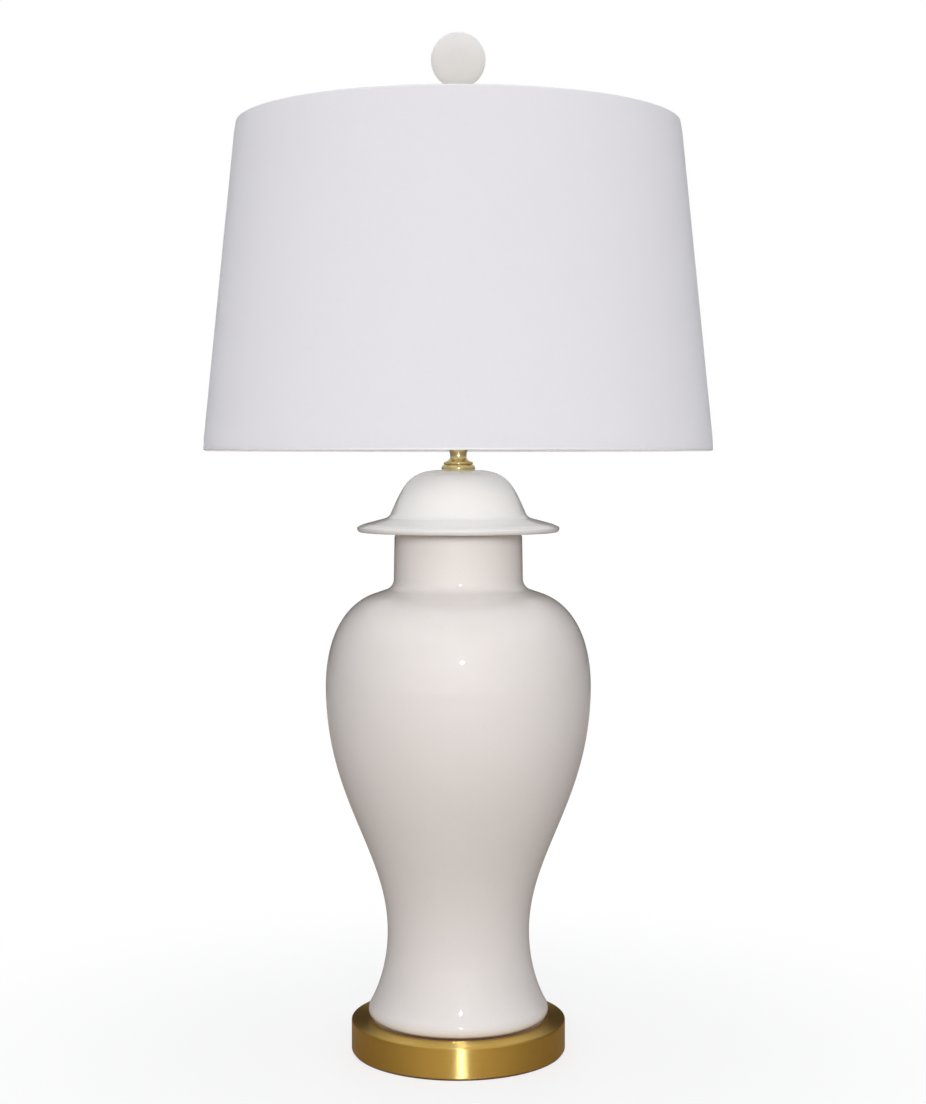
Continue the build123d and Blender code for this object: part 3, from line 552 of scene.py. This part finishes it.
# %% [markdown]
# ## The jar
#
# A temple jar: a flared foot, a narrow waist, a high full shoulder and a straight neck. The CAD
# mesh of it is cut into flat triangles, which show in a glossy glaze. So the same outline is drawn
# again with many more points, and the wheel's faint unevenness is added: slow waves of a few
# hundredths of a millimetre that make the reflections swim a little, as they do on thrown ware.

# %% Outline of the jar, in metres
rod_hole = 0.00554
jar_foot_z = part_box("jar")[0].z
jar_rim_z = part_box("jar")[1].z
waist, belly, shoulder = (0.0608, 0.1028), (0.1132, 0.3138), (0.0724, 0.3928)
slope = radians(19.0)
shoulder_tail = (shoulder[0] + 0.0244 * cos(slope), shoulder[1] - 0.0244 * sin(slope))
foot_wide, splay = (0.0773, jar_foot_z + 0.0055), radians(30.0)
flare = (foot_wide[0] - 0.0104 * (1 - cos(splay)), foot_wide[1] + 0.0104 * sin(splay))
outside = joined(
    arc((foot_wide[0] - 0.0055, foot_wide[1]), 0.0055, -90, 0, 14),
    arc((foot_wide[0] - 0.0104, foot_wide[1]), 0.0104, 0, 30, 10),
    bezier(flare, (flare[0] - 0.0115 * sin(splay), flare[1] + 0.0115 * cos(splay)), (0.0608, 0.0730), waist, 40),
    bezier(waist, (0.0608, 0.1728), (0.1132, 0.2168), belly, 64),
    bezier(belly, (0.1132, 0.3588), shoulder_tail, shoulder, 48),
    rounded([shoulder, (0.0552, 0.3987), (0.0544, jar_rim_z), (0.0484, jar_rim_z)], (0.010, 0.0035), 14),
)
inside = joined(
    straight((0.0484, jar_rim_z), (0.0484, 0.3995), 6),
    bezier((0.0704, 0.3871), (0.0935, 0.3792), (0.1072, 0.3528), (0.1072, 0.3138), 24),
    bezier((0.1072, 0.3138), (0.1072, 0.2168), (0.0548, 0.1728), (0.0548, 0.1028), 24),
    bezier((0.0548, 0.1028), (0.0548, 0.0730), (0.0623, 0.0533), (0.0623, 0.0418), 12),
    straight((0.0623, 0.0418), (rod_hole, 0.0418), 8),
    straight((rod_hole, 0.0418), (rod_hole, jar_foot_z + 0.003)),
    straight((rod_hole, jar_foot_z + 0.003), (0.0623, jar_foot_z + 0.003), 6),
    rounded([(0.0623, jar_foot_z + 0.003), (0.0623, jar_foot_z), (0.0718, jar_foot_z)], (0.0008,), 5),
)
jar_outline = joined(outside, inside)
print("the jar's outline has", len(jar_outline), "points, widest", round(jar_outline[:, 0].max() * 1000, 1), "mm")


# %% [markdown]
# The outline goes round the axis next. A thrown wall is never quite round, and the potter's fingers
# leave slow rings up it. Three sine waves are enough for that, because only the reflections show it.

# %% Throw the jar
def wheel_marks(angle, radius, height):
    """Slow waves round and up the wall: thirty to fifty thousandths of a millimetre."""
    around = np.sin(2 * angle + 9.0 * height) * 0.000030 + np.sin(3 * angle - 31.0 * height + 1.3) * 0.000018
    rings = np.sin(520.0 * height + 0.8 * np.sin(angle)) * 0.000012
    return (around + rings) * (radius > 0.02)


jar = turned("glazed_jar", jar_outline, "white_glaze", "stand", 224, wheel_marks)
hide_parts("jar")
print("glazed_jar:", len(jar.data.polygons), "faces")

# %% [markdown]
# ## The lid
#
# The lid is a bell with a wide, thin brim and a collar that drops inside the neck. Its crown is
# nearly flat where the brass ring sits. It is thrown apart from the jar, so its waves differ.

# %% Outline and surface of the lid
brim_z = 0.4457
crown_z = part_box("lid")[1].z
lean = radians(23.4)
knee = (0.0805, brim_z + 0.0069)
root_z = knee[1] + (knee[0] - 0.0589) * tan(radians(15.0))
side = (0.0589 - 0.0061 * tan(lean), root_z + 0.0061)
dome = bezier(
    (0.0140, crown_z), (0.0400, crown_z),
    (side[0] - 0.0254 * sin(lean), side[1] + 0.0254 * cos(lean)), side, 60,
)
brim = rounded(
    [side, (0.0589, root_z), knee, (0.0861, brim_z + 0.0043), (0.0861, brim_z), (0.0475, brim_z)],
    (0.008, 0.009, 0.0011, 0.0031), 14,
)
under = bezier(
    (side[0] - 0.0055, side[1]),
    (side[0] - 0.0055 - 0.0199 * sin(lean), side[1] + 0.0199 * cos(lean)),
    (0.0345, crown_z - 0.0055), (0.0140, crown_z - 0.0055), 24,
)
collar = rounded(
    [(0.0475, brim_z), (0.0475, brim_z - 0.012), (0.0420, brim_z - 0.012), (0.0420, brim_z), under[0]],
    (0.0010, 0.0010, 0.0020), 6,
)
lid_outline = joined(
    straight((rod_hole, crown_z), (0.0140, crown_z), 4), dome, brim, collar, under,
    straight((0.0140, crown_z - 0.0055), (rod_hole, crown_z - 0.0055), 3),
    straight((rod_hole, crown_z - 0.0055), (rod_hole, crown_z)),
)


def lid_marks(angle, radius, height):
    """The brim is never quite flat or round after firing: waves of a twentieth of a millimetre."""
    return (np.sin(2 * angle + 0.7) * 0.00005 + np.sin(5 * angle + 40 * height) * 0.000015) * (radius > 0.03)


lid = turned("glazed_lid", lid_outline, "white_glaze", "stand", 208, lid_marks)
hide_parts("lid")
print("glazed_lid:", len(lid.data.polygons), "faces, brim", round(lid_outline[:, 0].max() * 2000, 1), "mm across")

# %% [markdown]
# ## The shade
#
# A hardback drum: linen bonded to styrene, bent into a cone and glued along a seam at the back.
# At the top and the bottom the cloth alone is rolled over a wire ring and tucked in behind it, so
# there is no tape or trim to see. The cone's flat pattern is part of a ring. A point at slant
# distance s from the cone's tip and at angle a round it lies in the pattern at the angle
# a * sin(half the cone's opening). That gives the cloth a map in metres in which every thread is
# straight: upright at the front, and leaning a little towards the seam.

# %% The cone, its flat pattern and its cloth
cloth_t, liner_t, ring_r = 0.0007, 0.0005, 0.0015
low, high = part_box("shade_fabric")
bottom_r, bottom_z, top_z = high.x, low.z, high.z
top_r = bottom_r - 0.0286
lean_in = (bottom_r - top_r) / (top_z - bottom_z)
half_opening = np.arctan(lean_in)
wall = cloth_t + liner_t
ring_side = ring_r * sqrt(1 + lean_in**2)


def cone_r(z, depth=0.0):
    """Radius of the cone at height z, this deep into its wall."""
    return bottom_r - (z - bottom_z) * lean_in - depth


def pattern(s, a):
    """Flat pattern of the cone: the point at distance s from the tip and angle a from the front."""
    turn = a * np.sin(half_opening)
    return s * np.sin(turn), s * np.cos(turn)


tip = bottom_r / np.sin(half_opening)
edge = np.array(pattern(tip, pi))
print("flat pattern about", round(2 * edge[0], 3), "m wide, sector of", round(np.degrees(2 * pi * sin(half_opening)), 1), "degrees")


# %% [markdown]
# ### The hems
#
# The cloth's middle line runs round the bottom ring, up the wall and round the top ring. The same
# line moved half a thickness to each side gives the two faces of the cloth, and so a closed outline.

# %% Outline of the cloth: the wall, and a roll round each ring
def offset(line, distance):
    """The line moved sideways by this distance, to its left."""
    along = np.gradient(line, axis=0)
    along /= np.linalg.norm(along, axis=1)[:, None]
    return line + distance * np.column_stack((-along[:, 1], along[:, 0]))


def roll(ring_z, side):
    """Centre line of the cloth round a ring: from the wall, round the ring, to its inner side."""
    centre = (cone_r(ring_z, wall) - ring_side, ring_z)
    return arc(centre, ring_r + cloth_t / 2, 0, side * 250, 26)


low_ring_z = bottom_z + cloth_t + ring_r
high_ring_z = top_z - cloth_t - ring_r
low_roll = roll(low_ring_z, -1)
high_roll = roll(high_ring_z, 1)
wall_line = np.column_stack((
    cone_r(np.linspace(low_ring_z, high_ring_z, 100), cloth_t / 2),
    np.linspace(low_ring_z, high_ring_z, 100),
))
cloth_line = joined(low_roll[::-1], wall_line[3:-3], high_roll)
cloth_outline = np.vstack((offset(cloth_line, -cloth_t / 2), offset(cloth_line, cloth_t / 2)[::-1]))
print("cloth line of", len(cloth_line), "points, hem rolled", round(2 * ring_r * 1000 + 1.4, 1), "mm thick")


# %% [markdown]
# The cloth needs a map in metres for its weave. Every corner of every face gets the point of the
# flat pattern that it was cut from, so the threads run straight in the sheet and bend with the cone.

# %% Lay the cloth, with its map
def add_map(piece, name, u, v):
    """Writes a map from two arrays of one value to each corner of the faces."""
    layer = piece.data.uv_layers.new(name=name)
    layer.data.foreach_set("uv", np.column_stack((u, v)).astype(np.float32).ravel())


def corner_values(piece):
    """(points, angle from the front, vertex number) at each face corner; the angle doesn't jump inside a face."""
    corners = np.zeros(len(piece.data.loops), np.int32)
    piece.data.loops.foreach_get("vertex_index", corners)
    points = np.zeros(len(piece.data.vertices) * 3)
    piece.data.vertices.foreach_get("co", points)
    points = points.reshape(-1, 3)[corners]
    angle = np.arctan2(points[:, 0], -points[:, 1]).reshape(-1, 4)
    angle -= 2 * pi * np.round((angle - angle[:, :1]) / (2 * pi))
    return points, angle.ravel(), corners


cloth = turned("shade_linen", cloth_outline, "white_linen", "shade", 256)
points, angle, corners = corner_values(cloth)
row = corners // 256
length = np.r_[0, np.cumsum(np.linalg.norm(np.diff(cloth_line, axis=0), axis=1))]
length = np.r_[length, length[::-1]]
slant = tip - (length[row] - length[np.argmin(np.abs(cloth_line[:, 1] - bottom_z))])
add_map(cloth, "cloth", *pattern(slant, angle))
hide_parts("shade_fabric")
print("shade_linen:", len(cloth.data.polygons), "faces")


# %% [markdown]
# ### The seams
#
# A hardback shade closes at the back, where the cloth laps over itself by 13 mm and is glued, and the
# styrene laps inside. Each lap is a thin strip that follows the cone, with its edges pressed down.

# %% The seams at the back
def seam(name, slot, depth, rise, width, height_gap, offset_angle):
    """A strip of the cone at the back: grid of angle and height, closed round its four sides."""
    z = np.linspace(bottom_z + height_gap, top_z - height_gap, 90)[:, None]
    share = np.array([0.0, 0.04, 0.5, 0.96, 1.0, 1.0, 0.5, 0.0])[None, :]
    up = np.array([0.15, 1.0, 1.0, 1.0, 0.15, -0.2, -0.2, -0.2])[None, :]
    mid = cone_r(z, depth)
    a = pi / 2 + offset_angle + (share - 0.5) * width / mid
    r = mid + rise * up
    grid = np.stack((r * np.cos(a), r * np.sin(a), np.broadcast_to(z, a.shape)), axis=-1)
    faces = grid_faces(90, 8, False)
    caps = np.array([[0, 1, 2, 7], [7, 2, 3, 6], [6, 3, 4, 5]])
    faces = np.vstack((faces, caps, caps + 89 * 8))
    return mesh_piece(name, grid.reshape(-1, 3), faces, slot, "shade")


linen_seam = seam("shade_seam", "white_linen", 0.0, 0.00045, 0.013, 0.0012, 0.0)
points, angle, corners = corner_values(linen_seam)
slant = tip - (points[:, 2] - bottom_z) / np.cos(half_opening)
add_map(linen_seam, "cloth", *pattern(slant, angle + 0.013))
liner_seam = seam("liner_seam", "styrene_liner", wall, -0.00035, 0.011, 0.0040, 0.02)
print("seams:", linen_seam.name, "and", liner_seam.name)

# %% [markdown]
# The linen is cut as a part of a ring: the pattern fits a rectangle as wide as its outer chord, and its area is that
# of the part of a ring.

# %% [markdown]
# ## Two threads
#
# The bulb screws into a thin aluminium sleeve with a rolled thread, seven turns to the inch: the
# same wave shows inside and outside. The finial screws onto a stud with a cut thread, 27 turns to
# the inch. On a thread the radius is a wave of the height and of the angle together, so that one
# turn round the axis climbs by one pitch. Both fit inside the CAD pieces that they stand for.

# %% The wave of a thread
def thread_wave(angle, height, pitch, start, end, run_in):
    """0 on the crest and 1 in the root: (1 - cos(2 pi z / pitch - a)) / 2, faded in at both ends."""
    wave = (1 - np.cos(2 * pi * height / pitch - angle)) / 2
    return wave * np.clip((height - start) / run_in, 0, 1) * np.clip((end - height) / run_in, 0, 1)


# %% The rolled sleeve for the bulb
sleeve_low, sleeve_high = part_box("thread_shell")
bulb_pitch, sleeve_t, roll_depth, lip = 0.0254 / 7, 0.0005, 0.00075, 0.0012
sleeve_r = sleeve_high.x
inner_r = sleeve_r - sleeve_t
sleeve_outline = joined(
    straight((sleeve_r, sleeve_low.z), (sleeve_r, sleeve_high.z), 96),
    straight((inner_r, sleeve_high.z), (inner_r, sleeve_low.z), 96),
)


def rolled(angle, radius, height):
    """Both faces of the sleeve go in together."""
    return -roll_depth * thread_wave(angle, height, bulb_pitch, sleeve_low.z + lip, sleeve_high.z - lip, 0.0015)


sleeve = turned("bulb_sleeve", sleeve_outline, "thread_aluminium", "stand", 72, rolled)
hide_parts("thread_shell")
print("bulb_sleeve:", round((sleeve_high.z - sleeve_low.z) / bulb_pitch, 1), "turns")

# %% The stud for the finial
stud_low, stud_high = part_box("harp_stud")
finial_pitch, cut_depth = 0.0254 / 27, 0.00050
stud_r, seat_r, eye_r, seat_t, chamfer = 0.003175, 0.0075, 0.0042, 0.0016, 0.0003
stud_seat_z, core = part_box("spider_hub")[0].z, 0.00002
stud_outline = joined(
    straight((core, stud_low.z), (eye_r - chamfer, stud_low.z)),
    straight((eye_r, stud_low.z + chamfer), (eye_r, stud_seat_z - seat_t)),
    straight((seat_r - chamfer, stud_seat_z - seat_t), (seat_r, stud_seat_z - seat_t + chamfer)),
    straight((seat_r, stud_seat_z - chamfer), (seat_r - chamfer, stud_seat_z)),
    straight((stud_r, stud_seat_z), (stud_r, stud_high.z - 0.0005), 150),
    straight((stud_r - 0.0006, stud_high.z), (core, stud_high.z)),
    straight((core, stud_high.z), (core, stud_low.z)),
)


def cut(angle, radius, height):
    """Only the threaded length is cut."""
    threaded = (np.abs(radius - stud_r) < 1e-6) & (height > stud_seat_z + 1e-6)
    return -cut_depth * threaded * thread_wave(angle, height, finial_pitch, stud_seat_z, stud_high.z, 0.0008)


stud = turned("threaded_stud", stud_outline, slot_of["harp_stud"], body_of_node["harp_stud"], 40, cut)
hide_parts("harp_stud")
print("threaded_stud:", round((stud_high.z - stud_seat_z) / finial_pitch, 1), "turns, on", body_of_node["harp_stud"])

# %% [markdown]
# ## The floor
#
# The ground of the photograph is plain white. A floor that is only painted white would need so
# much light to look white that the glaze would lose its shading. So the camera sees the floor
# mixed with plain white light, more of it further out, and the lamp itself sees a warm table top
# that throws back less. The shadow round the plinth stays.

# %% Floor
def stage_sheet(name, corners, material):
    """One flat sheet that belongs to the set and not to the lamp."""
    mesh = bpy.data.meshes.new(name)
    mesh.from_pydata(corners, [], [(0, 1, 2, 3)])
    mesh.materials.append(material)
    sheet = bpy.data.objects.new(name, mesh)
    bpy.context.scene.collection.objects.link(sheet)
    return sheet


def table_top():
    """Lit by the lamps near the plinth, and plain white further out."""
    f = Finish("table_top")
    at, x, y, z = place(f)
    camera = f.node("ShaderNodeLightPath", out="Is Camera Ray")
    glossy = f.node("ShaderNodeLightPath", out="Is Glossy Ray")
    top = mix(f, camera, rgb(0.33, 0.275, 0.225), rgb(0.93, 0.93, 0.93))
    f.surface(base_color=top, roughness=0.9, specular_ior_level=0.0)
    far = ((x * x + y * y) ** 0.5).rise(0.12, 0.60)
    white = f.node("ShaderNodeEmission", sockets={"Color": rgb(1, 1, 1), "Strength": 1.0})
    share = camera * (0.72 + far * 0.28) + glossy * 0.04
    lit = Signal(f, f.principled.outputs[0])
    both = f.node("ShaderNodeMixShader", sockets={0: share, 1: lit, 2: white})
    f.put(f.tree.nodes["Material Output"].inputs["Surface"], both)
    return f.material


reach, under = 6.0, -0.0003
floor = stage_sheet(
    "floor",
    [(-reach, -reach, under), (reach, -reach, under), (reach, reach, under), (-reach, reach, under)],
    table_top(),
)
print("floor", 2 * reach, "m wide")

# %% [markdown]
# ## The light
#
# The highlights in the photograph are small and lie above the middle of each form, so a small lamp
# stands a little above the camera. The glaze is brightest in front and falls off to grey at its
# edges, so most of the light comes from a wide soft source in front, and the room behind is dark.
# In Blender each part of that is set by itself: the small lamp shows only in reflections, the wide
# ones only light what they meet, and the world is a room that is pale in front and overhead, and
# brown behind, for whatever reflects it.

# %% Lamps
def soft_lamp(name, place_at, tilt, turn, wide, tall, watts, in_gloss, in_colour):
    """An area lamp, turned like a camera: tilt 90 degrees is level, and turn is about the upright."""
    light = bpy.data.lights.new(name, "AREA")
    light.shape = "ELLIPSE"
    light.size, light.size_y, light.energy = wide, tall, watts
    lamp = bpy.data.objects.new(name, light)
    lamp.location, lamp.rotation_euler = place_at, (radians(tilt), 0.0, radians(turn))
    lamp.visible_camera = lamp.visible_transmission = False
    lamp.visible_glossy, lamp.visible_diffuse = in_gloss, in_colour
    bpy.context.scene.collection.objects.link(lamp)
    return lamp


def group_of(name, pieces):
    """A collection that only a lamp reads."""
    group = bpy.data.collections.new(name)
    for piece in pieces:
        group.objects.link(piece)
    return group


def only_for(lamp, pieces, behind=()):
    """The lamp lights these pieces alone, and only they and those in front of them cast its shadow."""
    lamp.light_linking.receiver_collection = group_of(lamp.name + "_lights", pieces)
    lamp.light_linking.blocker_collection = group_of(lamp.name + "_shadows", [*pieces, *behind])


neck, ring, plinth = (frame["nodes"][name] for name in ("lamp_neck", "check_ring", "base_plinth"))
soft_lamp("spark", (0.09, -1.62, 0.93), 74, 3, 0.085, 0.085, 6.0, True, False)
soft_lamp("front", (0.0, -2.40, 0.80), 81, 0, 1.50, 0.45, 31.0, False, True).data.color = (1.0, 0.985, 0.965)
soft_lamp("behind", (0.0, 2.40, 0.70), 84, 180, 1.50, 0.45, 18.0, False, True)
only_for(soft_lamp("through_the_shade", (0.0, -0.30, 1.60), 12, 0, 0.50, 0.50, 2.0, False, True), [lid])
only_for(soft_lamp("over_the_shoulder", (0.0, -0.50, 1.60), 20, 0, 0.80, 0.80, 1.1, False, True), [jar])
only_for(soft_lamp("on_the_neck", (0.09, -1.62, 0.53), 90, 3, 0.16, 0.10, 5.0, True, False), [neck, ring])
streak = soft_lamp("on_the_plinth", (0.09, -1.62, 0.50), 74, 3, 0.02, 0.10, 15.0, True, False)
streak.data.color = (0.28, 0.45, 1.0)
only_for(streak, [plinth], [jar])
shade_pieces = [cloth, linen_seam, liner_seam, *(frame["nodes"][name] for name in body_of_node if body_of_node[name] == "shade")]
only_for(soft_lamp("up_into_the_shade", (0.0, 0.0, 0.04), 180, 0, 0.80, 0.80, 2.9, False, True), shade_pieces)


# %% The room all round
def room():
    """White to the camera, a plain grey for shading, and a pale to brown gradient for reflections."""
    world = bpy.data.worlds.new("room")
    bpy.context.scene.world = world
    world.use_nodes = True
    w = Bench(world.node_tree)
    parts = w.tree.nodes.new("ShaderNodeSeparateXYZ")
    w.put(parts.inputs[0], w.node("ShaderNodeTexCoord", out="Generated"))
    ahead, up = Signal(w, parts.outputs[1]), Signal(w, parts.outputs[2])
    pale = ((1 - ahead) * 0.5) ** 4
    shown = mix(w, pale, rgb(0.075, 0.058, 0.040), rgb(1.0, 0.97, 0.90))
    shown = mix(w, up.rise(0.30, 0.90), shown, rgb(0.95, 0.95, 0.95))
    glossy = w.node("ShaderNodeLightPath", out="Is Glossy Ray")
    camera = w.node("ShaderNodeLightPath", out="Is Camera Ray")
    clear = w.node("ShaderNodeLightPath", out="Is Transmission Ray")
    light = mix(w, glossy, rgb(0.570, 0.590, 0.635), shown)
    light = mix(w, camera.math("MAXIMUM", camera, clear), light, rgb(1, 1, 1))
    w.put(w.tree.nodes["Background"].inputs["Color"], light)
    return world


room()
bpy.context.scene.view_settings.view_transform = "Standard"
print("the room has", len(bpy.context.scene.world.node_tree.nodes), "nodes")

# %% [markdown]
# ## The camera
#
# The picture is 926 by 1104 pixels. The straight edges of the shade and the ellipses of the plinth
# give its place: 1.66 m from the lamp, half a metre up, and turned down by less than three degrees.

# %% Camera
camera = bpy.data.objects.new("camera", bpy.data.cameras.new("camera"))
camera.data.sensor_width = 36.0
camera.data.lens = 1952.2 / 1104 * 36.0
camera.location = (0.0, -1.6641, 0.5082)
camera.rotation_euler = (pi / 2 - 0.0478, 0.0, -0.0024)
bpy.context.scene.collection.objects.link(camera)
bpy.context.scene.camera = camera
print("lens", round(camera.data.lens, 2), "mm")
